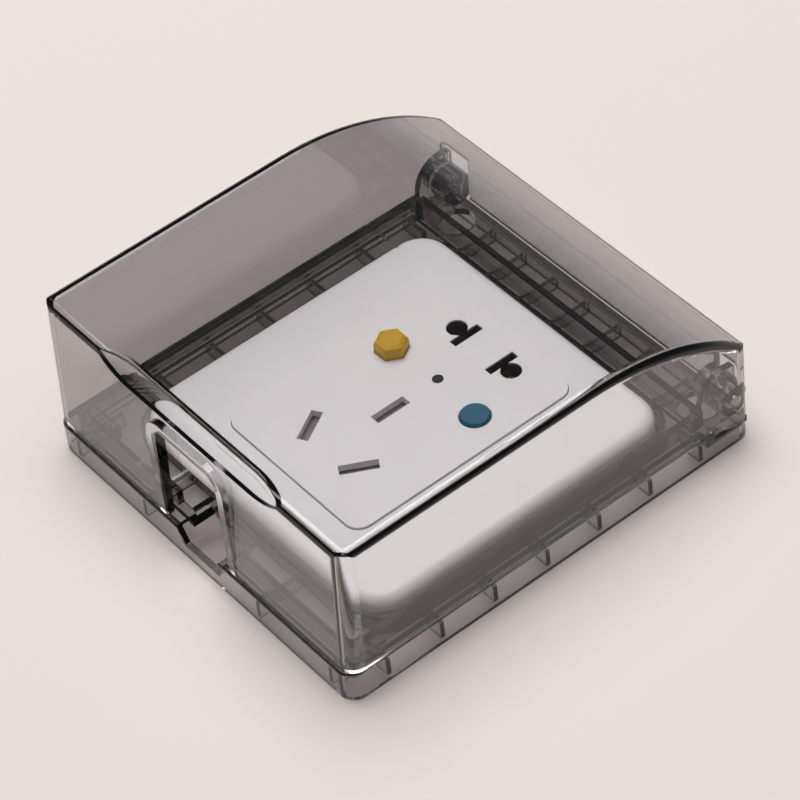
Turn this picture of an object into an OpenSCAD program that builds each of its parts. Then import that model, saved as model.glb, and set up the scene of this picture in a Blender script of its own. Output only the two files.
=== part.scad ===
// Splash-proof wall socket cover with a protected socket inside.
// The wall side lies at z = 0, the hinge is at +Y and the cable leaves at -Y.

/* [Cover] */
// Room between the socket plate and each side of the lid
side_room = 11.8; // [10:0.1:20]
// Room between the socket plate and the cable side, and the hinge side
end_room = 16; // [14.5:0.5:24]
// Height of the closed cover above the wall
cover_h = 45.6; // [40:0.2:60]
// Wall thickness of the clear mouldings
wall = 1.8; // [1.4:0.1:2.2]
// Lean of the lid's front wall in degrees
front_lean = 3; // [1:0.5:5]
// Depth of the flat part of the roof behind the centre
roof_flat = 12; // [0:1:20]
// Radius of the roof where it falls to the hinge side
roof_r = 70; // [60:1:90]
// Radius where the roof meets the back wall
back_r = 4; // [3.5:0.5:8]
// Radius of the lid's outer edges
edge_r = 2.2; // [1.9:0.1:3]

/* [Cable outlet] */
// Half width of the arch in the lid's front wall
arch_half = 11.4; // [9:0.2:14]
// Height of the arch's top above the wall
arch_top = 37.4; // [28:0.2:37.6]
// Corner radius of the arch
arch_r = 3.4; // [2:0.2:6]
// Thickness of the collar round the arch
collar_t = 2.6; // [1.6:0.1:2.6]
// Half width of the cable channel's floor in the base
channel_half = 4.8; // [3:0.2:7]
// Height of the cable channel's floor above the wall
channel_z = 4.4; // [3.6:0.1:5.4]
// Length of the cable channel from the base's outer face
channel_l = 9.6; // [7:0.2:11]

/* [Finger scoop] */
// Half width of the scoop's straight part along the lid's top front edge
scoop_half = 21.5; // [14:0.5:30]
// Radius of the scoop's fading ends
scoop_fade_r = 20; // [12:1:30]
// Radius of the scoop's section
scoop_r = 5.4; // [4:0.2:8]
// Depth of the scoop down the front wall
scoop_drop = 4.8; // [3:0.1:5]
// Depth of the scoop into the roof
scoop_reach = 2.7; // [2:0.1:3.6]

/* [Base] */
// Height of the ledge that the lid closes on
ledge_h = 8.4; // [7.4:0.1:10]
// Gap between the ledge and the lid's lower edge
lid_gap = 0.2; // [0.1:0.1:0.4]
// Height of the rain lip inside the lid above the ledge
lip_h = 4; // [2:0.5:6]
// Distance of the rain lip's outer face from the base's outer face
lip_inset = 4.2; // [4:0.1:4.6]
// Thickness of the base's reinforcing ribs
rib_t = 1.2; // [0.8:0.1:1.6]
// Spacing of the ribs along the sides
side_rib_pitch = 15.25; // [12:0.25:20]
// Distance of the inner front ribs from the centre line
front_rib_x = 21.2; // [16:0.2:30]
// Distance of the outer front ribs from the base's side
corner_rib = 7.5; // [5:0.1:12]
// Spacing of the ribs along the hinge side
back_rib_pitch = 11.4; // [9:0.2:14]
// Radius of the base's plan corners
plan_r = 4; // [3:0.5:4.5]
// Radius of the base's upper outer edge
rim_r = 0.7; // [0.4:0.1:1]

/* [Hinge] */
// Height of the hinge axis above the wall
axis_z = 13.2; // [12.6:0.1:14]
// Distance of the hinge axis in front of the lid's back face
axis_back = 4.6; // [4.4:0.1:5]
// Radius of the lid's side ears round the axis
ear_r = 7.4; // [7:0.1:7.8]
// Radius of the hinge barrels on the base
barrel_r = 4.4; // [3.6:0.1:4.5]
// Length of the hinge barrels
barrel_len = 7; // [5:0.5:9]
// Diameter of the hinge pins
pin_d = 3; // [2:0.1:4]
// Opening angle of the lid in the displayed model
lid_open = 0; // [0:5:110]

/* [Wall fixing] */
// Spacing of the two wall screw holes
screw_pitch = 60.3; // [59:0.1:62]
// Diameter of the wall screw holes
screw_hole_d = 4.6; // [4:0.1:5]
// Thickness of the foam gasket behind the base
gasket_t = 1.2; // [0.8:0.1:2]

/* [Socket plate] */
// Side of the square socket plate
plate_w = 86; // [84:0.5:88]
// Corner radius of the socket plate
plate_r = 8; // [5:0.5:10]
// Height of the socket plate's flat face above the wall
plate_z = 9.6; // [9:0.1:11]
// Width of the socket's face insert
face_w = 48.7; // [46:0.1:50]
// Height of the socket's face insert along the plate
face_l = 64.4; // [62:0.2:68]
// Corner radius of the face insert
face_r = 4; // [3:0.5:5]
// Radius of the plate's front edge
plate_edge_r = 2.6; // [1:0.1:3]
// Rise of the face insert above the plate
face_rise = 0.6; // [0.2:0.1:1]

/* [Outlets] */
// Distance of the line and neutral slots from the centre line
slot_x = 9; // [8.6:0.1:9.4]
// Distance of the line and neutral slots below the centre
slot_y = 19.2; // [18.6:0.1:19.8]
// Length of the three-pin slots
slot_l = 9.4; // [8:0.1:10]
// Width of the three-pin slots
slot_w = 2.9; // [2.4:0.1:3.2]
// Lean of the line and neutral slots in degrees
slot_lean = 30; // [25:1:35]
// Height of the earth slot's centre below the centre
earth_y = 2.7; // [2:0.1:3.4]
// Height of the two-pin holes above the centre
pair_y = 25.3; // [24.8:0.1:26]
// Distance of the flat two-pin slots from the centre line
flat_x = 6.35; // [6.2:0.05:6.6]
// Distance of the round two-pin holes from the centre line
round_x = 9.8; // [9.4:0.1:10.2]
// Diameter of the round two-pin holes
round_d = 5.2; // [4.8:0.1:5.6]

/* [Buttons] */
// Distance of both buttons from the centre line
button_x = 15.1; // [14:0.1:15.6]
// Height of both buttons above the centre
button_y = 10; // [9:0.1:11]
// Width of the six-sided reset button across its corners
reset_d = 8.4; // [7:0.1:8.8]
// Rise of the reset button above the face
reset_rise = 3.4; // [3:0.1:4]
// Travel of the reset button
reset_travel = 2.4; // [1.5:0.1:2.4]
// Diameter of the test button's cap
test_d = 7.4; // [6.6:0.1:8]
// Rise of the test button above the face
test_rise = 0.8; // [0.6:0.1:1.6]
// Travel of the test button
test_travel = 0.9; // [0.6:0.1:1.1]

/* [Hidden] */
$fn = 64;
eps = 0.01;
far = 400;

// Clearances that the fits share
slip = 0.2;
pin_press = 0.02;
pin_run = 0.05;
swing_gap = 0.4;

// Outer size of the cover
cover_w = plate_w + 2 * side_room;
cover_d = plate_w + 2 * end_room;

// Heights in the base
lid_z = ledge_h + lid_gap;
floor_z = gasket_t;
seat_z = floor_z + wall;
inner_deck_z = ledge_h - wall;
back_deck_z = axis_z - ear_r - swing_gap;
lip_top = ledge_h + lip_h;

// Plan of the base
base_w = cover_w - 0.4;
pocket_w = plate_w + 1.2;
lip_t = wall;
lip_w = base_w - 2 * lip_inset;
lip_front = cover_d / 2 - lip_inset;
window_side = 1.7;
window_end = 5.6;
window_w = face_w + window_side;
window_l = face_l + window_end;
gasket_room = 4;
strap_inset = 2.6;
plate_t = 2.3;
pocket_wall = 1.6;
rib_shift = 2.1;

// Hinge
axis_y = cover_d / 2 - axis_back;
back_sweep_r = norm([axis_back, axis_z - lid_z]);
lip_back = axis_y - back_sweep_r - swing_gap;
ear_x = lip_w / 2;
ear_in = ear_x - lip_t;
barrel_in = ear_x - barrel_len;
ear_top_r = 8;
ear_back = cover_d / 2 - wall - swing_gap;
lid_in_w = cover_w - 2 * wall;
boss_r = 4.2;
boss_in = ear_x + 0.3;
pin_in = barrel_in + 0.6;
pin_out = cover_w / 2 - 1;
pin_bevel = 0.3;
notch_in = barrel_in - swing_gap;
notch_top = axis_z + ear_top_r - swing_gap;
drain_r = 4.2;
drain_x = 42.2;

// Lid
front_y = cover_d / 2 - 0.6;
roof_c = [roof_flat, cover_h - roof_r];
lean_t = tan(front_lean);
back_c = [cover_d / 2 - back_r,
          roof_c[1] + sqrt(pow(roof_r - back_r, 2) - pow(cover_d / 2 - back_r - roof_flat, 2))];
back_angle = acos((cover_d / 2 - back_r - roof_flat) / (roof_r - back_r));
corner_c = [front_line(cover_h - edge_r) + edge_r / cos(front_lean), cover_h - edge_r];
collar_out = front_y + 0.2;
collar_in = front_y - wall;
mouth_r = 1;

// Socket stack
frame_t = 1.4;
frame_top = seat_z + frame_t;
flange_t = 1.2;
flange_top = frame_top + flange_t;
face_z = plate_z + face_rise;
face_t = 1.9;
face_under = face_z - face_t;
case_floor = 0.3;
case_t = 1.2;
case_w = face_w - 0.3;
case_l = face_l;
case_in = case_floor + 1;
shelf_z = 5.6;
shelf_t = 1;
shelf_top = shelf_z + shelf_t;
shutter_z = shelf_top + 0.15;
shutter_t = 1.2;
shutter_w = 4.6;
shutter_l = slot_l + 1.4;
spring_l = 5;
spring_r = 0.45;
spring_wire = 0.14;
stop_l = 1.2;
clip_t = 0.6;
clip_l = 7;
earth_clip_l = 8;
pad_r = 2.4;
pad_hole_r = 1.3;
well_r = 2.5;
lamp_r = 1.5;
lens_r = 1.35;
lens_flange_r = 1.9;
clip_gap = 1.7;
strip_z = case_in + 0.2;
strip_t = 0.8;
strip_w = 2.4;
strip_x = face_w / 2 - 4.05;
clip_top = shelf_z - 0.2;
terminal_y = 9;
earth_terminal_y = 27;
screw_post_x = face_w / 2 - 4.35;
screw_post_y = face_l / 2 - 3;
screw_post_r = 2.4;
board_w = 18.8;
board_l = 13.4;
board_foot = 2;
liner_t = 0.6;

// Buttons
flange_h = 1.1;
button_flange_r = 4.9;
stem_r = 2.2;
cap_edge = 0.4;
reset_edge = 1;
button_flange_z = face_under - slip - flange_h;
spring_low = case_in;

// Y place of the lid's front face at height z
function front_line(z) = -front_y + (z - lid_z) * lean_t;

// A rectangle with round corners
module rounded(w, l, r) {
    union() {
        square([w - 2 * r, l], center = true);
        square([w, l - 2 * r], center = true);
        for (sx = [-1, 1], sy = [-1, 1])
            translate([sx * (w / 2 - r), sy * (l / 2 - r)]) circle(r);
    }
}

// A rounded block standing between two heights
module slab(w, l, r, low, high) {
    translate([0, 0, low]) linear_extrude(high - low) rounded(w, l, r);
}

// One side of a round-edged slab in section, from its middle outwards
module soft_section(reach, low, high, r) {
    translate([0, low]) square([reach - r, high - low]);
    translate([0, low]) square([reach, high - r - low]);
    translate([reach - r, high - r]) circle(r);
}

// A rounded block whose upper edge is round too
module soft_slab(w, l, r, low, high, edge) {
    translate([0, 0, low])
        linear_extrude(high - low) square([w - 2 * r, l - 2 * r], center = true);
    for (s = [-1, 1]) {
        translate([s * (w / 2 - r), l / 2 - r, 0]) rotate([0, 0, s > 0 ? 0 : 180])
            rotate([90, 0, s > 0 ? 0 : 180]) mirror([s > 0 ? 0 : 1, 0, 0])
            linear_extrude(l - 2 * r) soft_section(r, low, high, edge);
        translate([0, s * (l / 2 - r), 0]) rotate([0, 0, s * 90])
            translate([0, w / 2 - r, 0]) rotate([90, 0, 0])
            linear_extrude(w - 2 * r) soft_section(r, low, high, edge);
    }
    for (a = [0:3])
        translate([(a == 0 || a == 3 ? 1 : -1) * (w / 2 - r), (a < 2 ? 1 : -1) * (l / 2 - r), 0])
            rotate([0, 0, 90 * a]) rotate_extrude(angle = 90) soft_section(r, low, high, edge);
}

// Turns a side view drawn as (y, z) into a solid of the given width
module across(width) {
    rotate([90, 0, 90]) linear_extrude(width, center = true) children();
}

// A round bar along X between two places
module bar_x(r, x1, x2, y, z) {
    translate([x1, y, z]) rotate([0, 90, 0]) cylinder(r = r, h = x2 - x1);
}

// The same piece on both sides
module both_sides() {
    children();
    mirror([1, 0, 0]) children();
}

// Side view of the lid, drawn inset from the outer skin
module lid_side(inset) {
    top = cover_h - inset;
    back = cover_d / 2 - inset;
    front_r = max(edge_r - inset, 0);
    shift = inset / cos(front_lean);
    difference() {
        intersection() {
            polygon([[front_line(0) + shift, 0], [back_c[0] + 2, 0], [back_c[0] + 2, top],
                     [front_line(top) + shift, top]]);
            union() {
                translate([-far, 0]) square([far + roof_flat, far]);
                translate(roof_c) circle(roof_r - inset, $fn = 256);
            }
            translate([-far, 0])
                square([far + roof_flat + (roof_r - inset) * cos(back_angle), far]);
        }
        if (front_r > 0)
            translate(corner_c)
                polygon([[0, 0], [-10 * cos(front_lean), 10 * sin(front_lean)], [-10, 20], [0, 20]]);
    }
    if (front_r > 0) translate(corner_c) circle(front_r);
    translate(back_c) circle(back_r - inset);
    translate([0, 0]) square([back, back_c[1]]);
}

// The roof with its round side edges
module roof_block() {
    half = cover_w / 2;
    inner = half - edge_r;
    translate([0, roof_flat, 0]) rotate([90, 0, 0]) linear_extrude(far / 4) {
        translate([-half, 0]) square([cover_w, cover_h - edge_r]);
        translate([-inner, 0]) square([2 * inner, cover_h]);
        for (s = [-1, 1]) translate([s * inner, cover_h - edge_r]) circle(edge_r);
    }
    translate([0, roof_c[0], roof_c[1]]) rotate([90, 0, 90]) rotate_extrude(angle = 90) {
        translate([0, -half]) square([roof_r - edge_r, cover_w]);
        translate([0, -inner]) square([roof_r, 2 * inner]);
        for (s = [-1, 1]) translate([roof_r - edge_r, s * inner]) circle(edge_r);
    }
}

// A column with the lid's leaning front corners
module front_column(inset) {
    w = cover_w - 2 * inset;
    translate([0, front_line(0) + inset / cos(front_lean), 0]) rotate([-front_lean, 0, 0])
        translate([0, w, -lid_z]) linear_extrude(far / 4) rounded(w, 2 * w, plan_r - inset);
}

// A column with the lid's upright back corners
module back_column(inset) {
    w = cover_w - 2 * inset;
    translate([0, cover_d / 2 - inset - w, 0]) linear_extrude(far / 4)
        rounded(w, 2 * w, plan_r - inset);
}

// The lid's outer form, before it is hollowed
module lid_form() {
    intersection() {
        across(cover_w) lid_side(0);
        front_column(0);
        back_column(0);
        roof_block();
    }
}

// The space inside the lid
module lid_cavity() {
    intersection() {
        across(lid_in_w) lid_side(wall);
        front_column(wall);
        back_column(wall);
    }
}

// Outline of the arch, grown by a margin
module arch_outline(grow) {
    w = arch_half + grow;
    top = arch_top + grow;
    r = arch_r + grow;
    translate([-w, 0]) square([2 * w, top - r]);
    translate([-(w - r), 0]) square([2 * (w - r), top]);
    for (s = [-1, 1]) translate([s * (w - r), top - r]) circle(r);
}

// The arch as a block along Y between two places
module arch_block(grow, y1, y2) {
    translate([0, y2, 0]) rotate([90, 0, 0]) linear_extrude(y2 - y1) arch_outline(grow);
}

// The scoop's path: a round bar whose ends curve away from the lid's edge
module scoop_bar(r) {
    low = [front_line(cover_h - scoop_drop), cover_h - scoop_drop];
    chord = [front_line(cover_h) + scoop_reach, cover_h] - low;
    lean = atan2(chord[0], chord[1]);
    out = [-cos(lean), sin(lean)];
    centre = low + chord / 2 + sqrt(pow(scoop_r, 2) - pow(norm(chord) / 2, 2)) * out;
    turn = centre + scoop_fade_r * out;
    bar_x(r, -scoop_half, scoop_half, centre[0], centre[1]);
    both_sides() translate([-scoop_half, turn[0], turn[1]]) rotate([-lean, 0, 0])
        rotate([0, 0, 90]) rotate_extrude(angle = acos(1 - scoop_drop * 0.55 / scoop_fade_r))
            translate([scoop_fade_r, 0]) circle(r);
}

module lid_shell() {
    difference() {
        union() {
            difference() {
                lid_form();
                lid_cavity();
            }
            intersection() {
                lid_form();
                union() {
                    scoop_bar(scoop_r + wall);
                    arch_block(collar_t, -cover_d / 2, -collar_in);
                }
            }
            arch_collar();
            both_sides() bar_x(boss_r, boss_in, lid_in_w / 2 + eps, axis_y, axis_z);
        }
        scoop_bar(scoop_r);
        arch_block(0, -cover_d / 2 - 1, -collar_in + 1);
        arch_mouth();
        lid_underside();
        hinge_notches();
        both_sides() bar_x(pin_d / 2 + pin_run, boss_in - 1, pin_out + 0.2, axis_y, axis_z);
    }
}

// The upright collar that frames the arch and stands out as the wall leans back
module arch_collar() {
    difference() {
        arch_block(collar_t, -collar_out, -collar_in);
        arch_block(0, -collar_out - 1, -collar_in + 1);
    }
}

// A small bevel round the arch's mouth
module arch_mouth() {
    arch_block(mouth_r / 3, -collar_out - 1, -collar_out + mouth_r / 3);
}

// Everything below the lid's lower edge, apart from the side ears
module lid_underside() {
    difference() {
        translate([-far / 2, -far / 2, -1]) cube([far, far, lid_z + 1]);
        both_sides() bar_x(ear_r, lid_in_w / 2, cover_w, axis_y, axis_z);
    }
    translate([-lid_in_w / 2, -far / 2, -1]) cube([lid_in_w, far, lid_z + 1]);
}

// Gaps in the lid's back wall, which let the hinge barrels through
module hinge_notches() {
    both_sides() difference() {
        translate([notch_in, ear_back, 0])
            cube([lid_in_w / 2 - notch_in, cover_d, notch_top]);
        bar_x(boss_r, boss_in, lid_in_w / 2 + eps, axis_y, axis_z);
    }
}

module lid() {
    color([0.36, 0.35, 0.36, 0.45])
        translate([0, axis_y, axis_z]) rotate([-lid_open, 0, 0]) translate([0, -axis_y, -axis_z])
            lid_shell();
}

// A rounded block of the base's outer plan, moved in by a margin
module base_plan(inset, low, high) {
    slab(base_w - 2 * inset, cover_d - 2 * inset, max(plan_r - inset, 0.5), low, high);
}

// A block between two widths, with its own front and back
module plan_block(w, front, back, r, low, high) {
    translate([0, (back - front) / 2, 0]) slab(w, front + back, r, low, high);
}

// Outer skirt, ledge and the lower deck behind the rain lip
module base_shell() {
    difference() {
        soft_slab(base_w, cover_d, plan_r, 0, ledge_h, rim_r);
        base_plan(wall, -1, inner_deck_z);
        translate([-far / 2, lip_back, back_deck_z]) cube([far, far, far]);
        plan_block(lip_w - 2 * lip_t, lip_front - lip_t, lip_back - lip_t, plan_r / 2, -1, far);
    }
    difference() {
        plan_block(lip_w, lip_front, lip_back, plan_r / 2, inner_deck_z - wall, lip_top);
        plan_block(lip_w - 2 * lip_t, lip_front - lip_t, lip_back - lip_t, plan_r / 2,
                   inner_deck_z, far);
        translate([-pocket_w / 2, -pocket_w / 2, -1]) cube([pocket_w, pocket_w, far]);
    }
    translate([-base_w / 2 + wall / 2, lip_back - wall, back_deck_z - wall])
        cube([base_w - wall, cover_d / 2 - lip_back + wall / 2, wall]);
    both_sides() translate([ear_x - lip_t, lip_back - wall, back_deck_z - wall])
        cube([base_w / 2 - ear_x + lip_t - wall / 2, wall, ledge_h - back_deck_z + wall]);
}

// The square pocket that the socket plate sits in
module base_pocket() {
    difference() {
        slab(pocket_w + 2 * pocket_wall, pocket_w + 2 * pocket_wall, plate_r + pocket_wall,
             floor_z, inner_deck_z);
        slab(pocket_w, pocket_w, plate_r, seat_z, far);
        translate([0, 0, -1]) linear_extrude(far) rounded(window_w, window_l, face_r);
    }
    difference() {
        translate([-pocket_w / 2 - pocket_wall, -pocket_w / 2 - pocket_wall, inner_deck_z - wall])
            cube([pocket_w + 2 * pocket_wall, pocket_w + 2 * pocket_wall, wall]);
        slab(pocket_w, pocket_w, plate_r, -1, far);
    }
}

// Ribs under the ledge
module base_ribs() {
    reach = base_w / 2 - wall / 2;
    inner = pocket_w / 2 + pocket_wall / 2;
    for (i = [-3:3])
        both_sides() translate([inner, i * side_rib_pitch - rib_shift - rib_t / 2, 1])
            cube([reach - inner, rib_t, inner_deck_z - wall / 2 - 1]);
    for (x = [front_rib_x, base_w / 2 - corner_rib])
        both_sides() translate([x - rib_t / 2, -cover_d / 2 + wall / 2, 1])
            cube([rib_t, cover_d / 2 - wall / 2 - inner, inner_deck_z - wall / 2 - 1]);
    for (i = [-3:3])
        translate([i * back_rib_pitch - rib_t / 2, inner, 0.4])
            cube([rib_t, cover_d / 2 - wall / 2 - inner, back_deck_z - wall / 2 - 0.4]);
}

// Ears and barrels that carry the hinge pins
module base_ears() {
    both_sides() {
        intersection() {
            union() {
                bar_x(ear_top_r, ear_in, ear_x, axis_y, axis_z);
                translate([ear_in, axis_y - ear_top_r, back_deck_z - wall])
                    cube([ear_x - ear_in, 2 * ear_top_r, axis_z - back_deck_z + wall]);
            }
            cube([far, ear_back, far]);
        }
        bar_x(barrel_r, barrel_in, ear_x, axis_y, axis_z);
    }
}

// The trapezoid channel that the cable runs through
module channel_outline(grow) {
    rise = ledge_h - channel_z;
    wide = channel_half + rise * 0.75;
    polygon([[-channel_half - grow, channel_z - grow], [channel_half + grow, channel_z - grow],
             [wide + grow, ledge_h], [wide + grow, far], [-wide - grow, far],
             [-wide - grow, ledge_h]]);
}

module channel_block(grow, y1, y2, top) {
    intersection() {
        translate([0, y2, 0]) rotate([90, 0, 0]) linear_extrude(y2 - y1) channel_outline(grow);
        translate([-far / 2, -far / 2, 0]) cube([far, far, top]);
    }
}

module base_frame() {
    channel_end = -cover_d / 2 + channel_l;
    color([0.36, 0.35, 0.36, 0.45]) difference() {
        union() {
            base_shell();
            base_pocket();
            base_ribs();
            base_ears();
            channel_block(wall, -cover_d / 2 + wall / 2, channel_end + wall, ledge_h);
        }
        channel_block(0, -cover_d / 2 - 1, channel_end, far);
        translate([-arch_half - 1, -cover_d / 2 - 1, ledge_h])
            cube([2 * arch_half + 2, cover_d / 2 - pocket_w / 2, far]);
        both_sides() {
            bar_x(ear_r + swing_gap, ear_x, far, axis_y, axis_z);
            bar_x(pin_d / 2 + pin_press, pin_in - 0.2, far, axis_y, axis_z);
            translate([drain_x, cover_d / 2 - wall - drain_r - 0.4, -1])
                cylinder(r = drain_r, h = back_deck_z + 2);
            translate([screw_pitch / 2, 0, -1]) cylinder(d = screw_hole_d, h = far);
        }
    }
}

module hinge_pin() {
    color("silver") translate([pin_in, axis_y, axis_z]) rotate([0, 90, 0]) {
        cylinder(r1 = pin_d / 2 - pin_bevel, r2 = pin_d / 2, h = pin_bevel);
        translate([0, 0, pin_bevel]) cylinder(d = pin_d, h = pin_out - pin_in - 2 * pin_bevel);
        translate([0, 0, pin_out - pin_in - pin_bevel])
            cylinder(r1 = pin_d / 2, r2 = pin_d / 2 - pin_bevel, h = pin_bevel);
    }
}

module hinge_pin_right() hinge_pin();
module hinge_pin_left() mirror([1, 0, 0]) hinge_pin();

module wall_gasket() {
    color([0.15, 0.15, 0.16]) difference() {
        slab(pocket_w, pocket_w, plate_r, 0, gasket_t);
        translate([0, 0, -1]) linear_extrude(far) rounded(window_w + gasket_room, window_l + gasket_room, face_r);
        both_sides() translate([screw_pitch / 2, 0, -1]) cylinder(d = screw_hole_d + 3, h = far);
    }
}

// The strap that carries the socket under its plate
module mounting_frame() {
    w = plate_w - 2 * strap_inset;
    color([0.8, 0.8, 0.78]) difference() {
        slab(w, w, plate_r - strap_inset, seat_z, frame_top);
        translate([0, 0, -1]) linear_extrude(far) rounded(window_w, window_l - 2, face_r);
        both_sides() translate([screw_pitch / 2, 0, -1]) cylinder(d = screw_hole_d, h = far);
    }
}

// The clip-on plate: a shell with a soft edge and a window for the face
module cover_plate() {
    color([0.93, 0.92, 0.92]) difference() {
        soft_slab(plate_w, plate_w, plate_r, seat_z + slip, plate_z, plate_edge_r);
        slab(plate_w - 2 * plate_t, plate_w - 2 * plate_t, plate_r - plate_t, -1, plate_z - 2);
        translate([0, 0, -1]) linear_extrude(far)
            rounded(face_w + 2 * slip, face_l + 2 * slip, face_r + slip);
    }
}

// A slot with the three-pin outline, at its place on the face
module pin_slot(w, l, low, high) {
    translate([-w / 2, -l / 2, low]) cube([w, l, high - low]);
}

// Puts a piece at the live slot, turned along it
module at_live() {
    translate([-slot_x, -slot_y, 0]) rotate([0, 0, slot_lean]) children();
}

// The two-pin hole: a round hole joined to a flat slot
module pair_hole(grow, low, high) {
    translate([-round_x, pair_y, low]) cylinder(d = round_d + 2 * grow, h = high - low);
    translate([-flat_x, pair_y, 0]) pin_slot(2.3 + 2 * grow, 8.4 + 2 * grow, low, high);
    translate([-round_x, pair_y - 1.1 - grow, low])
        cube([round_x - flat_x, 2.2 + 2 * grow, high - low]);
}

// All the holes of the face, grown by a margin
module pin_holes(grow, low, high) {
    both_sides() {
        at_live() pin_slot(slot_w + 2 * grow, slot_l + 2 * grow, low, high);
        pair_hole(grow, low, high);
    }
    translate([0, -earth_y, 0]) pin_slot(slot_w + 2 * grow, slot_l + 2 * grow, low, high);
}

// Puts a piece at the earth slot, turned so that its leaf slides to +X
module at_earth() {
    translate([0, -earth_y, 0]) rotate([0, 0, 180]) children();
}

// Stop that a shutter's spring leans on, under the face
module spring_stop() {
    translate([-shutter_w / 2 - spring_l - stop_l - slip, -2, shelf_top + 0.1])
        cube([stop_l, 4, face_under - shelf_top]);
}

module socket_face() {
    color([0.95, 0.94, 0.94]) difference() {
        union() {
            slab(face_w, face_l, face_r, face_under, face_z);
            difference() {
                slab(face_w, face_l, face_r, flange_top, face_under + eps);
                slab(face_w - 2.4, face_l - 2.4, face_r - 1.2, 0, far);
            }
            for (sx = [-1, 1], sy = [-1, 1])
                translate([sx * screw_post_x, sy * screw_post_y, shelf_top + 0.1])
                    cylinder(r = screw_post_r, h = face_under - shelf_top);
            both_sides() at_live() spring_stop();
            at_earth() spring_stop();
        }
        pin_holes(0, 0, far);
        both_sides() pair_hole(liner_t + slip, 0, face_z - 0.5);
        translate([-button_x, button_y, 0]) cylinder(d = reset_d + 2.4 * slip, h = far, $fn = 6);
        translate([button_x, button_y, 0]) cylinder(r = test_d / 2 + slip, h = far);
        translate([0, button_y + 1.4, 0]) cylinder(r = lens_r + 0.05, h = far);
        for (sx = [-1, 1], sy = [-1, 1])
            translate([sx * screw_post_x, sy * screw_post_y, 0])
                cylinder(r = 1.22, h = face_under + 0.8);
    }
}

module rear_housing() {
    color([0.88, 0.87, 0.85]) difference() {
        union() {
            slab(case_w, case_l, face_r, case_floor, flange_top);
            slab(case_w + 4, case_l + 5, face_r, frame_top, flange_top);
        }
        difference() {
            slab(case_w - 2 * case_t, case_l - 2 * case_t, face_r - case_t, case_in, far);
            for (sx = [-1, 1], sy = [-1, 1])
                translate([sx * screw_post_x, sy * screw_post_y, 0])
                    cylinder(r = screw_post_r, h = shelf_z);
        }
        for (sx = [-1, 1], sy = [-1, 1])
            translate([sx * screw_post_x, sy * screw_post_y, 0]) {
                translate([0, 0, -1]) cylinder(r = 1.3, h = far);
                translate([0, 0, -1]) cylinder(r = 2.2, h = 1 + case_floor + 1.4);
            }
        both_sides() translate([strip_x, -terminal_y, -1]) cylinder(r = well_r, h = 3);
        translate([0, -earth_terminal_y, -1]) cylinder(r = well_r, h = 3);
    }
}

// The dark inner cover over the contacts
module contact_shelf() {
    color([0.12, 0.12, 0.13]) difference() {
        union() {
            slab(case_w - 2 * case_t - 2 * slip, case_l - 2 * case_t - 2 * slip,
                 face_r - case_t, shelf_z, shelf_top);
            both_sides() pair_hole(liner_t, shelf_z, face_z - 0.7);
        }
        both_sides() {
            at_live() pin_slot(slot_w - liner_t, slot_l - liner_t, 0, far);
            pair_hole(0, 0, far);
        }
        translate([0, -earth_y, 0]) pin_slot(slot_w - liner_t, slot_l - liner_t, 0, far);
        both_sides() translate([button_x, button_y, 0]) cylinder(r = 5.1, h = far);
        translate([0, button_y + 1.4, 0]) cylinder(r = 2, h = far);
        for (sx = [-1, 1], sy = [-1, 1])
            translate([sx * screw_post_x, sy * screw_post_y, 0]) cylinder(r = 1.3, h = far);
    }
}

// Two spring leaves that grip a pin
module clip(l) {
    for (s = [-1, 1])
        translate([s * (clip_gap + clip_t) / 2 - clip_t / 2, -l / 2, strip_z])
            cube([clip_t, l, clip_top - strip_z]);
    translate([-clip_gap / 2 - clip_t, -l / 2, strip_z]) cube([clip_gap + 2 * clip_t, l, strip_t]);
}

// A flat strip along X or Y between two corners
module strip(x1, x2, y1, y2) {
    translate([x1, y1, strip_z]) cube([x2 - x1, y2 - y1, strip_t]);
}

module line_contact() {
    half = strip_w / 2;
    difference() {
        union() {
            at_live() clip(clip_l);
            strip(-strip_x - half, -slot_x, -slot_y - half, -slot_y + half);
            strip(-strip_x - half, -strip_x + half, -slot_y - half, pair_y + half);
            strip(-strip_x - half, -flat_x - 0.5, pair_y - half, pair_y + half);
            translate([-flat_x, pair_y, 0]) clip(clip_l);
            translate([-strip_x, -terminal_y, strip_z]) cylinder(r = pad_r, h = strip_t);
        }
        translate([-strip_x, -terminal_y, 0]) cylinder(r = pad_hole_r, h = far);
    }
}

module live_contact() color("goldenrod") line_contact();
module neutral_contact() color("goldenrod") mirror([1, 0, 0]) line_contact();

module earth_contact() {
    half = strip_w / 2;
    color("goldenrod") difference() {
        union() {
            translate([0, -earth_y, 0]) clip(earth_clip_l);
            strip(-half, half, -earth_terminal_y, -earth_y);
            translate([0, -earth_terminal_y, strip_z]) cylinder(r = pad_r, h = strip_t);
        }
        translate([0, -earth_terminal_y, 0]) cylinder(r = pad_hole_r, h = far);
    }
}

// A pan-head clamp screw whose head faces the wall
module terminal_screw(x, y) {
    color("silver") translate([x, y, 0]) difference() {
        union() {
            translate([0, 0, case_floor + 0.1]) cylinder(r = 2.2, h = strip_z - case_floor - 0.1);
            translate([0, 0, strip_z - eps]) cylinder(r = 1.25, h = 3);
        }
        translate([-2.5, -0.3, 0]) cube([5, 0.6, case_floor + 0.6]);
    }
}

module live_terminal_screw() terminal_screw(-strip_x, -terminal_y);
module neutral_terminal_screw() terminal_screw(strip_x, -terminal_y);
module earth_terminal_screw() terminal_screw(0, -earth_terminal_y);

// The sliding leaf that closes one slot
module shutter() {
    color([0.55, 0.53, 0.53]) translate([-shutter_w / 2, -shutter_l / 2, shutter_z])
        cube([shutter_w, shutter_l, shutter_t]);
}

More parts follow.
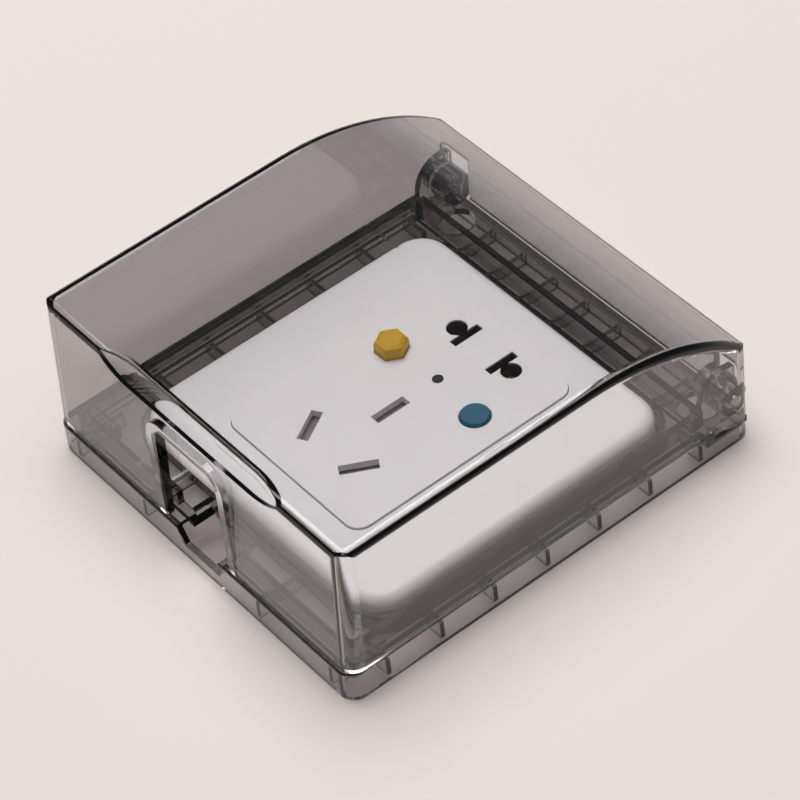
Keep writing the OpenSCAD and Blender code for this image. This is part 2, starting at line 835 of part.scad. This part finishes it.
module live_shutter() at_live() shutter();
module neutral_shutter() mirror([1, 0, 0]) at_live() shutter();
module earth_shutter() at_earth() shutter();

// One point of a coil spring's wire
function coil_point(r, pitch, turns, n, i) =
    let (a = 360 * turns * i / n) [r * cos(a), r * sin(a), pitch * turns * i / n];

// A coil spring: a round wire swept along a helix
module coil(r, wire, height, turns) {
    steps = turns * 14;
    sides = 6;
    pitch = (height - wire) / turns;
    rise = atan2(pitch, 2 * PI * r);
    points = [for (i = [0:steps], j = [0:sides - 1])
        let (p = coil_point(r, pitch, turns, steps, i),
             a = 360 * turns * i / steps,
             b = 360 * j / sides,
             out = cos(b) * wire / 2,
             up = sin(b) * wire / 2)
        [p[0] + out * cos(a) + up * sin(rise) * sin(a),
         p[1] + out * sin(a) - up * sin(rise) * cos(a),
         p[2] + up * cos(rise) + wire / 2]];
    faces = concat(
        [[for (j = [0:sides - 1]) j]],
        [for (i = [0:steps - 1], j = [0:sides - 1])
            let (k = (j + 1) % sides, a = i * sides, b = a + sides)
            [a + j, b + j, b + k, a + k]],
        [[for (j = [sides - 1:-1:0]) steps * sides + j]]);
    polyhedron(points, faces, convexity = 4);
}

module shutter_spring() {
    color("silver") translate([-shutter_w / 2 - slip / 2, 0, shutter_z + shutter_t / 2])
        rotate([0, -90, 0]) coil(spring_r, spring_wire, spring_l, 6);
}

module live_shutter_spring() at_live() shutter_spring();
module neutral_shutter_spring() mirror([1, 0, 0]) at_live() shutter_spring();
module earth_shutter_spring() at_earth() shutter_spring();

// Flange and guide stem of a push button, below its cap
module button_foot(travel) {
    translate([0, 0, button_flange_z]) cylinder(r = button_flange_r, h = flange_h);
    translate([0, 0, case_in + travel + 0.3])
        cylinder(r = stem_r, h = button_flange_z - case_in - travel - 0.2);
}

// Six-sided cap with a domed top
module reset_button() {
    cap = face_z + reset_rise;
    r = reset_d / 2;
    knee = cap - reset_edge * 0.4;
    color([0.86, 0.72, 0.12]) translate([-button_x, button_y, 0]) {
        button_foot(reset_travel);
        translate([0, 0, button_flange_z])
            cylinder(r = r, h = cap - reset_edge - button_flange_z, $fn = 6);
        translate([0, 0, cap - reset_edge])
            cylinder(r1 = r, r2 = r - cap_edge, h = knee - cap + reset_edge, $fn = 6);
        translate([0, 0, knee])
            cylinder(r1 = r - cap_edge, r2 = r - cap_edge - reset_edge, h = cap - knee, $fn = 6);
    }
}

// Low round cap with a soft edge
module test_button() {
    cap = face_z + test_rise;
    r = test_d / 2;
    color([0.16, 0.52, 0.6]) translate([button_x, button_y, 0]) {
        button_foot(test_travel);
        translate([0, 0, button_flange_z]) cylinder(r = r, h = cap - cap_edge - button_flange_z);
        translate([0, 0, cap - cap_edge]) cylinder(r1 = r, r2 = r - cap_edge, h = cap_edge);
    }
}

module button_spring() {
    coil(3.2, 0.5, button_flange_z - spring_low - 0.05, 3);
}

module reset_spring() {
    color("silver") translate([-button_x, button_y, spring_low]) button_spring();
}

module test_spring() {
    color("silver") translate([button_x, button_y, spring_low]) button_spring();
}

module circuit_board() {
    color([0.12, 0.35, 0.2]) translate([-board_w / 2, button_y + 1.4 - board_l / 2, case_in]) {
        translate([0, 0, 1]) cube([board_w, board_l, 1]);
        for (x = [0, board_w - board_foot], y = [0, board_l - board_foot])
            translate([x, y, 0]) cube([board_foot, board_foot, 1 + eps]);
    }
}

module indicator_lamp() {
    color([0.7, 0.1, 0.1]) translate([0, button_y + 1.4, case_in + 2]) {
        cylinder(r = lamp_r, h = lamp_r);
        translate([0, 0, lamp_r]) difference() {
            sphere(lamp_r);
            translate([-2, -2, -4]) cube(4);
        }
    }
}

module indicator_lens() {
    color([0.2, 0.1, 0.1]) translate([0, button_y + 1.4, 0]) {
        translate([0, 0, face_under - 0.9]) cylinder(r = lens_flange_r, h = 0.9);
        translate([0, 0, face_under - eps]) cylinder(r = lens_r, h = face_t + 0.1);
    }
}

// A tapping screw that draws the face down onto the housing
module face_screw(sx, sy) {
    color("silver") translate([sx * screw_post_x, sy * screw_post_y, 0]) difference() {
        union() {
            translate([0, 0, case_floor + 0.1]) cylinder(r = 2.05, h = 1.3);
            translate([0, 0, case_floor + 1]) cylinder(r = 1.2, h = face_under - case_floor - 0.6);
        }
        translate([-0.3, -1.4, 0]) cube([0.6, 2.8, case_floor + 0.6]);
        translate([-1.4, -0.3, 0]) cube([2.8, 0.6, case_floor + 0.6]);
    }
}

base_frame();
lid();
hinge_pin_left();
hinge_pin_right();
wall_gasket();
mounting_frame();
cover_plate();
socket_face();
rear_housing();
contact_shelf();
live_contact();
neutral_contact();
earth_contact();
live_terminal_screw();
neutral_terminal_screw();
earth_terminal_screw();
live_shutter();
neutral_shutter();
live_shutter_spring();
neutral_shutter_spring();
earth_shutter();
earth_shutter_spring();
reset_button();
test_button();
reset_spring();
test_spring();
circuit_board();
indicator_lamp();
indicator_lens();
face_screw(-1, -1);  // face_screw_1
face_screw(1, -1);  // face_screw_2
face_screw(1, 1);  // face_screw_3
face_screw(-1, 1);  // face_screw_4
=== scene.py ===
"""Looks for a splash-proof wall socket cover: clear smoke-grey shells over a white socket."""

import logging
import math
from dataclasses import dataclass, field
from enum import Enum

import bmesh
import bpy
from mathutils import Matrix, Vector

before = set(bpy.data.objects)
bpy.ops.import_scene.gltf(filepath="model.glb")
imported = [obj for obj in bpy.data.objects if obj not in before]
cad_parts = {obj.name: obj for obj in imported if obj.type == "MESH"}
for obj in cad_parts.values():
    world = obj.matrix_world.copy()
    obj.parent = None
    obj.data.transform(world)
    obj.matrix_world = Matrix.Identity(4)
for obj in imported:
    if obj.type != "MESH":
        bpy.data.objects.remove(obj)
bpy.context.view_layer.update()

MM = 0.001
LOG = logging.getLogger("socket_cover")


def linear(hex_colour: str, alpha: float = 1.0) -> tuple[float, float, float, float]:
    """Turns an sRGB hex colour into linear light.

    Args:
        hex_colour: The colour, such as "#c9a81f".
        alpha: The fourth number of the result.

    Returns:
        Red, green, blue and alpha.
    """
    text = hex_colour.lstrip("#")
    parts = [int(text[i:i + 2], 16) / 255 for i in (0, 2, 4)]
    light = [p / 12.92 if p <= 0.04045 else ((p + 0.055) / 1.055) ** 2.4 for p in parts]
    return light[0], light[1], light[2], alpha


def per_metre(size_mm: float) -> float:
    """Returns the scale of a pattern whose marks are this many millimetres wide."""
    return 1 / (size_mm * MM)


def add_node(
    tree: bpy.types.NodeTree,
    kind: str,
    settings: dict[str, object] | None = None,
    values: dict[str | int, object] | None = None,
    links: dict[str | int, bpy.types.NodeSocket] | None = None,
) -> bpy.types.Node:
    """Adds a node with its settings, socket values and links.

    Args:
        tree: The node tree.
        kind: Blender's name of the node's type.
        settings: Attributes of the node.
        values: Input names or numbers and their values.
        links: Input names or numbers and the sockets that feed them.

    Returns:
        The new node.
    """
    node = tree.nodes.new(kind)
    for key, value in (settings or {}).items():
        setattr(node, key, value)
    for key, value in (values or {}).items():
        node.inputs[key].default_value = value
    for key, socket in (links or {}).items():
        tree.links.new(socket, node.inputs[key])
    return node


def empty_material(name: str) -> bpy.types.Material:
    """Makes a material with an empty node tree.

    Args:
        name: The material's name.

    Returns:
        The material.
    """
    material = bpy.data.materials.new(name)
    material.use_nodes = True
    material.node_tree.nodes.clear()
    return material


@dataclass(frozen=True)
class SmokePolycarbonate:
    """Smoke-tinted clear polycarbonate, injection-moulded in polished tools.

    The tint is in the body, so a wall seen face on is light grey and one seen along its length
    is nearly black. The surface is glossy, with faint marks of wiping.
    """

    name: str
    density: float
    tint: str
    body: str = "#55494f"
    ior: float = 1.585
    roughness: float = 0.006
    wipe_marks: float = 0.014
    wipe_mm: float = 22.2222
    lamp_share: str = "#ffffff"

    def build(self) -> bpy.types.Material:
        """Builds the material and returns it."""
        material = empty_material(self.name)
        tree = material.node_tree
        place = add_node(tree, "ShaderNodeTexCoord")
        wipe = add_node(tree, "ShaderNodeTexNoise", values={
            "Scale": per_metre(self.wipe_mm), "Detail": 4.0},
            links={"Vector": place.outputs["Object"]})
        gloss = add_node(tree, "ShaderNodeMapRange", values={
            "From Min": 0.45, "From Max": 0.75,
            "To Min": self.roughness, "To Max": self.roughness + self.wipe_marks},
            links={"Value": wipe.outputs["Fac"]})
        body = add_node(tree, "ShaderNodeBsdfPrincipled", values={
            "Base Color": linear(self.tint),
            "IOR": self.ior,
            "Transmission Weight": 1.0,
        }, links={"Roughness": gloss.outputs[0]})
        # Lamps shine through the thin walls, so what is inside keeps its soft shadows.
        clear = add_node(tree, "ShaderNodeBsdfTransparent",
                         values={"Color": linear(self.lamp_share)})
        path = add_node(tree, "ShaderNodeLightPath")
        mix = add_node(tree, "ShaderNodeMixShader", links={
            0: path.outputs["Is Shadow Ray"], 1: body.outputs[0], 2: clear.outputs[0]})
        smoke = add_node(tree, "ShaderNodeVolumeAbsorption", values={
            "Color": linear(self.body), "Density": self.density})
        add_node(tree, "ShaderNodeOutputMaterial",
                 links={"Surface": mix.outputs[0], "Volume": smoke.outputs[0]})
        return material


@dataclass(frozen=True)
class MouldedPlastic:
    """Opaque thermoplastic moulded in a finely textured tool: a soft sheen with a faint grain."""

    name: str
    colour: str
    roughness: float = 0.35
    grain_mm: float = 0.6
    grain_depth_mm: float = 0.01
    grain_strength: float = 0.25
    cloud_mm: float = 16.6667
    mottle: float = 0.04
    sheen_swing: float = 0.05
    ior: float = 1.5

    def build(self) -> bpy.types.Material:
        """Builds the material and returns it."""
        material = empty_material(self.name)
        tree = material.node_tree
        place = add_node(tree, "ShaderNodeTexCoord")
        grain = add_node(tree, "ShaderNodeTexNoise", values={
            "Scale": per_metre(self.grain_mm), "Detail": 2.0},
            links={"Vector": place.outputs["Object"]})
        cloud = add_node(tree, "ShaderNodeTexNoise", values={
            "Scale": per_metre(self.cloud_mm), "Detail": 3.0},
            links={"Vector": place.outputs["Object"]})
        dark = tuple(c * (1 - self.mottle) for c in linear(self.colour)[:3]) + (1.0,)
        colour = add_node(tree, "ShaderNodeMix", {"data_type": "RGBA"},
                          {6: linear(self.colour), 7: dark}, {0: cloud.outputs["Fac"]})
        shine = add_node(tree, "ShaderNodeMapRange", values={
            "To Min": self.roughness - self.sheen_swing,
            "To Max": self.roughness + self.sheen_swing},
            links={"Value": cloud.outputs["Fac"]})
        bump = add_node(tree, "ShaderNodeBump", values={
            "Strength": self.grain_strength, "Distance": self.grain_depth_mm * MM},
            links={"Height": grain.outputs["Fac"]})
        body = add_node(tree, "ShaderNodeBsdfPrincipled", values={"IOR": self.ior}, links={
            "Base Color": colour.outputs[2], "Roughness": shine.outputs[0],
            "Normal": bump.outputs[0]})
        add_node(tree, "ShaderNodeOutputMaterial", links={"Surface": body.outputs[0]})
        return material


@dataclass(frozen=True)
class PlainMetal:
    """Drawn or rolled metal with fine drawing lines along one axis.

    The lines are drawn coarser than the real ones, so that they still show.
    """

    name: str
    colour: str
    roughness: float = 0.3
    line_mm: float = 0.25
    line_depth_mm: float = 0.01
    line_strength: float = 0.15
    line_stretch: float = 0.05
    sheen_swing: float = 0.08

    def build(self) -> bpy.types.Material:
        """Builds the material and returns it."""
        material = empty_material(self.name)
        tree = material.node_tree
        place = add_node(tree, "ShaderNodeTexCoord")
        stretch = add_node(tree, "ShaderNodeMapping", values={
            "Scale": (self.line_stretch, 1.0, 1.0)},
            links={"Vector": place.outputs["Object"]})
        lines = add_node(tree, "ShaderNodeTexNoise", values={
            "Scale": per_metre(self.line_mm), "Detail": 2.0},
            links={"Vector": stretch.outputs[0]})
        shine = add_node(tree, "ShaderNodeMapRange", values={
            "To Min": self.roughness - self.sheen_swing,
            "To Max": self.roughness + self.sheen_swing},
            links={"Value": lines.outputs["Fac"]})
        bump = add_node(tree, "ShaderNodeBump", values={
            "Strength": self.line_strength, "Distance": self.line_depth_mm * MM},
            links={"Height": lines.outputs["Fac"]})
        body = add_node(tree, "ShaderNodeBsdfPrincipled", values={
            "Base Color": linear(self.colour), "Metallic": 1.0},
            links={"Roughness": shine.outputs[0], "Normal": bump.outputs[0]})
        add_node(tree, "ShaderNodeOutputMaterial", links={"Surface": body.outputs[0]})
        return material


@dataclass(frozen=True)
class MattPaper:
    """Uncoated pale paper: even and without a shine, so only soft shadows show on it."""

    name: str
    colour: str
    roughness: float = 0.8
    specular: float = 0.2

    def build(self) -> bpy.types.Material:
        """Builds the material and returns it."""
        material = empty_material(self.name)
        tree = material.node_tree
        body = add_node(tree, "ShaderNodeBsdfPrincipled", values={
            "Base Color": linear(self.colour), "Roughness": self.roughness,
            "Specular IOR Level": self.specular})
        add_node(tree, "ShaderNodeOutputMaterial", links={"Surface": body.outputs[0]})
        return material


class Finish(Enum):
    """The finishes of the real object's pieces and of the floor under it."""

    # Thin polished walls: what is inside shows clearly, under a light smoky veil.
    LID = SmokePolycarbonate("smoke_polycarbonate_lid", 124.0, "#e5e3e4")
    # Ribs and doubled walls of a denser smoke, partly the base's own tint and partly painted
    # shade: the deck looks nearly black, standing in for the shaded floor under it, and the skirt
    # light.
    BASE = SmokePolycarbonate("smoke_polycarbonate_base", 232.0, "#f0eeef")
    # Fine-textured white moulding: wide, soft highlights on a clean white.
    WHITE = MouldedPlastic("white_pc_alloy_moulded", "#faf8f8", 0.34)
    # Painted shade: the white shutter leaves are coloured flat grey, so the bottom of each slot
    # looks shaded; matt from sliding.
    GREY = MouldedPlastic("shutter_painted_shade_grey", "#857c7e", 0.45)
    # Black moulding that swallows the light: dark holes and a dark dot.
    BLACK = MouldedPlastic("black_nylon_inner_cover", "#0b0a0b", 0.6)
    # Self-coloured yellow moulding: a warm, even button with soft facets.
    YELLOW = MouldedPlastic("yellow_abs_button", "#d8ab00", 0.34)
    # Self-coloured teal moulding: a deep, even round button.
    TEAL = MouldedPlastic("teal_abs_button", "#00607e", 0.32)
    # Green solder mask on glass laminate: satin and dark.
    BOARD = MouldedPlastic("green_glass_laminate", "#1c5a38", 0.4)
    # Diffused red epoxy, cast: glossy.
    LAMP = MouldedPlastic("red_epoxy_lamp", "#a01818", 0.2)
    # Closed-cell foam, cut from sheet: dull, with fine open pores.
    FOAM = MouldedPlastic("closed_cell_foam", "#232224", 0.9, 0.8, 0.08)
    # Nickel plate on drawn wire and turned screws: bright, slightly warm grey.
    STEEL = PlainMetal("nickel_plated_steel", "#c2c1be", 0.28)
    # Rolled brass strip, dulled by handling: dark gold.
    BRASS = PlainMetal("rolled_brass_strip", "#a88a4e", 0.36)
    # Pale warm paper.
    PAPER = MattPaper("matt_paper_floor", "#ddd5d0")


class Pole(Enum):
    """The socket's three poles."""

    LIVE = "live"
    NEUTRAL = "neutral"
    EARTH = "earth"


class Button(Enum):
    """The socket's two buttons."""

    RESET = "reset"
    TEST = "test"


@dataclass
class Wardrobe:
    """Keeps one material for each finish."""

    made: dict[Finish, bpy.types.Material] = field(default_factory=dict)

    def get(self, finish: Finish) -> bpy.types.Material:
        """Returns the finish's material and makes it on first use.

        Args:
            finish: The finish.

        Returns:
            Its material.
        """
        if finish not in self.made:
            self.made[finish] = finish.value.build()
        return self.made[finish]

    def dress(self, node: str, finish: Finish) -> None:
        """Gives a CAD node a finish.

        Args:
            node: The node's name.
            finish: The finish.
        """
        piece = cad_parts[node]
        piece.data.materials.clear()
        piece.data.materials.append(self.get(finish))
        LOG.info("%s is dressed in %s", node, finish.value.name)


@dataclass
class Assembly:
    """Pieces of the real object that belong together."""

    finishes: dict[str, Finish] = field(default_factory=dict)

    def dress(self, wardrobe: Wardrobe) -> None:
        """Gives each piece its finish.

        Args:
            wardrobe: The materials.
        """
        for node, finish in self.finishes.items():
            wardrobe.dress(node, finish)


@dataclass
class ClearShells(Assembly):
    """The lid and the base, both of clear smoke-grey moulding."""

    finishes: dict[str, Finish] = field(default_factory=lambda: {
        "lid": Finish.LID,
        "base_frame": Finish.BASE,
    })


@dataclass
class SocketCase(Assembly):
    """The white socket's shell, its strap, its dark inner cover and the foam ring behind it."""

    finishes: dict[str, Finish] = field(default_factory=lambda: {
        "cover_plate": Finish.WHITE,
        "socket_face": Finish.WHITE,
        "mounting_frame": Finish.WHITE,
        "rear_housing": Finish.WHITE,
        "contact_shelf": Finish.BLACK,
        "wall_gasket": Finish.FOAM,
    })


@dataclass
class Shutters(Assembly):
    """The leaves behind the pin slots, coloured grey as painted shade for the slots' depth, and
    their springs.
    """

    finishes: dict[str, Finish] = field(default_factory=lambda: {
        # The leaves get a grey that paints the shade at the bottom of each slot.
        **{f"{pole.value}_shutter": Finish.GREY for pole in Pole},
        **{f"{pole.value}_shutter_spring": Finish.STEEL for pole in Pole},
    })


@dataclass
class Controls(Assembly):
    """The two buttons with their springs, the lamp and its lens, and the board."""

    finishes: dict[str, Finish] = field(default_factory=lambda: {
        "reset_button": Finish.YELLOW,
        "test_button": Finish.TEAL,
        "indicator_lens": Finish.BLACK,
        "indicator_lamp": Finish.LAMP,
        "circuit_board": Finish.BOARD,
        **{f"{button.value}_spring": Finish.STEEL for button in Button},
    })


@dataclass
class Contacts(Assembly):
    """The contact strips and their terminal screws."""

    finishes: dict[str, Finish] = field(default_factory=lambda: {
        **{f"{pole.value}_contact": Finish.BRASS for pole in Pole},
        **{f"{pole.value}_terminal_screw": Finish.STEEL for pole in Pole},
    })


@dataclass
class Fasteners(Assembly):
    """The case's four screws and the lid's two hinge pins."""

    finishes: dict[str, Finish] = field(default_factory=lambda: {
        **{f"face_screw_{number}": Finish.STEEL for number in (1, 2, 3, 4)},
        **{f"hinge_pin_{side}": Finish.STEEL for side in ("left", "right")},
    })


@dataclass
class Floor:
    """The plain pale floor, just under the object."""

    half: float = 3.0
    gap_mm: float = 0.2

    def build(self, wardrobe: Wardrobe) -> None:
        """Makes the floor.

        Args:
            wardrobe: The materials.
        """
        mesh = bpy.data.meshes.new("floor")
        bm = bmesh.new()
        bmesh.ops.create_grid(bm, x_segments=1, y_segments=1, size=self.half)
        bm.to_mesh(mesh)
        bm.free()
        floor = bpy.data.objects.new("floor", mesh)
        bpy.context.scene.collection.objects.link(floor)
        floor.location.z = -self.gap_mm * MM
        mesh.materials.append(wardrobe.get(Finish.PAPER))


@dataclass
class Room:
    """The even light of a pale room: its strength by height, from below to overhead."""

    colour: str = "#f8f5f6"
    light: tuple[tuple[float, float], ...] = (
        (0.0, 0.75), (1.0, 1.7), (0.12, 0.4), (0.28, 0.1), (0.78, 0.1), (0.9, 1.65))

    def build(self) -> None:
        """Makes the world."""
        world = bpy.data.worlds.new("pale_room")
        bpy.context.scene.world = world
        world.use_nodes = True
        tree = world.node_tree
        tree.nodes.clear()
        place = add_node(tree, "ShaderNodeTexCoord")
        parts = add_node(tree, "ShaderNodeSeparateXYZ", links={0: place.outputs["Generated"]})
        ramp = add_node(tree, "ShaderNodeValToRGB", links={0: parts.outputs["Z"]})
        for i, (height, strength) in enumerate(self.light):
            stop = ramp.color_ramp.elements[i] if i < 2 else ramp.color_ramp.elements.new(height)
            stop.position = height
            stop.color = (strength, strength, strength, 1.0)
        sky = add_node(tree, "ShaderNodeBackground", values={"Color": linear(self.colour)},
                       links={"Strength": ramp.outputs[0]})
        add_node(tree, "ShaderNodeOutputWorld", links={"Surface": sky.outputs[0]})


@dataclass
class Softbox:
    """One soft square lamp that faces the object."""

    name: str = "softbox_top"
    place: tuple[float, float, float] = (-0.5, 0.2, 1.6)
    aim_mm: tuple[float, float, float] = (0.0, 0.0, 20.0)
    size: float = 1.2
    watts: float = 20.0

    def build(self) -> None:
        """Makes the lamp."""
        data = bpy.data.lights.new(self.name, "AREA")
        data.size = self.size
        data.energy = self.watts
        lamp = bpy.data.objects.new(self.name, data)
        bpy.context.scene.collection.objects.link(lamp)
        lamp.location = self.place
        back = Vector(self.place) - Vector(self.aim_mm) * MM
        lamp.rotation_mode = "QUATERNION"
        lamp.rotation_quaternion = back.to_track_quat("Z", "Y")


@dataclass
class Camera:
    """A camera at the photo's viewing angle; its angles are in degrees."""

    eye_mm: tuple[float, float, float] = (495.905, -333.633, 620.991)
    azimuth: float = 56.047
    elevation: float = 45.524
    roll: float = -7.303
    focal_px: float = 3727.0
    picture_px: float = 800.0
    sensor_mm: float = 36.0
    near: float = 0.05
    far: float = 20.0

    def turn(self) -> Matrix:
        """Returns the camera's rotation."""
        az, el, roll = (math.radians(a) for a in (self.azimuth, self.elevation, self.roll))
        back = Vector((math.sin(az) * math.cos(el), -math.cos(az) * math.cos(el), math.sin(el)))
        level = Vector((math.cos(az), math.sin(az), 0.0))
        rise = back.cross(level)
        right = math.cos(roll) * level + math.sin(roll) * rise
        up = -math.sin(roll) * level + math.cos(roll) * rise
        return Matrix((right, up, back)).transposed()

    def build(self) -> None:
        """Makes the camera and sets it as the scene's."""
        data = bpy.data.cameras.new("camera")
        data.sensor_width = self.sensor_mm
        data.lens = self.sensor_mm * self.focal_px / self.picture_px
        data.clip_start, data.clip_end = self.near, self.far
        camera = bpy.data.objects.new("camera", data)
        bpy.context.scene.collection.objects.link(camera)
        camera.rotation_mode = "QUATERNION"
        camera.rotation_quaternion = self.turn().to_quaternion()
        camera.location = Vector(self.eye_mm) * MM
        bpy.context.scene.camera = camera


@dataclass
class Studio:
    """The floor, the light and the camera."""

    floor: Floor = field(default_factory=Floor)
    room: Room = field(default_factory=Room)
    softbox: Softbox = field(default_factory=Softbox)
    camera: Camera = field(default_factory=Camera)

    def build(self, wardrobe: Wardrobe) -> None:
        """Builds the whole studio.

        Args:
            wardrobe: The materials.
        """
        self.floor.build(wardrobe)
        self.room.build()
        self.softbox.build()
        self.camera.build()
        bpy.context.scene.view_settings.view_transform = "Standard"


def main() -> None:
    """Builds the studio and dresses each sub-assembly."""
    logging.basicConfig(level=logging.INFO, format="%(name)s: %(message)s")
    wardrobe = Wardrobe()
    Studio().build(wardrobe)
    for assembly in (ClearShells(), SocketCase(), Shutters(), Controls(), Contacts(), Fasteners()):
        assembly.dress(wardrobe)


if __name__ == "__main__":
    main()
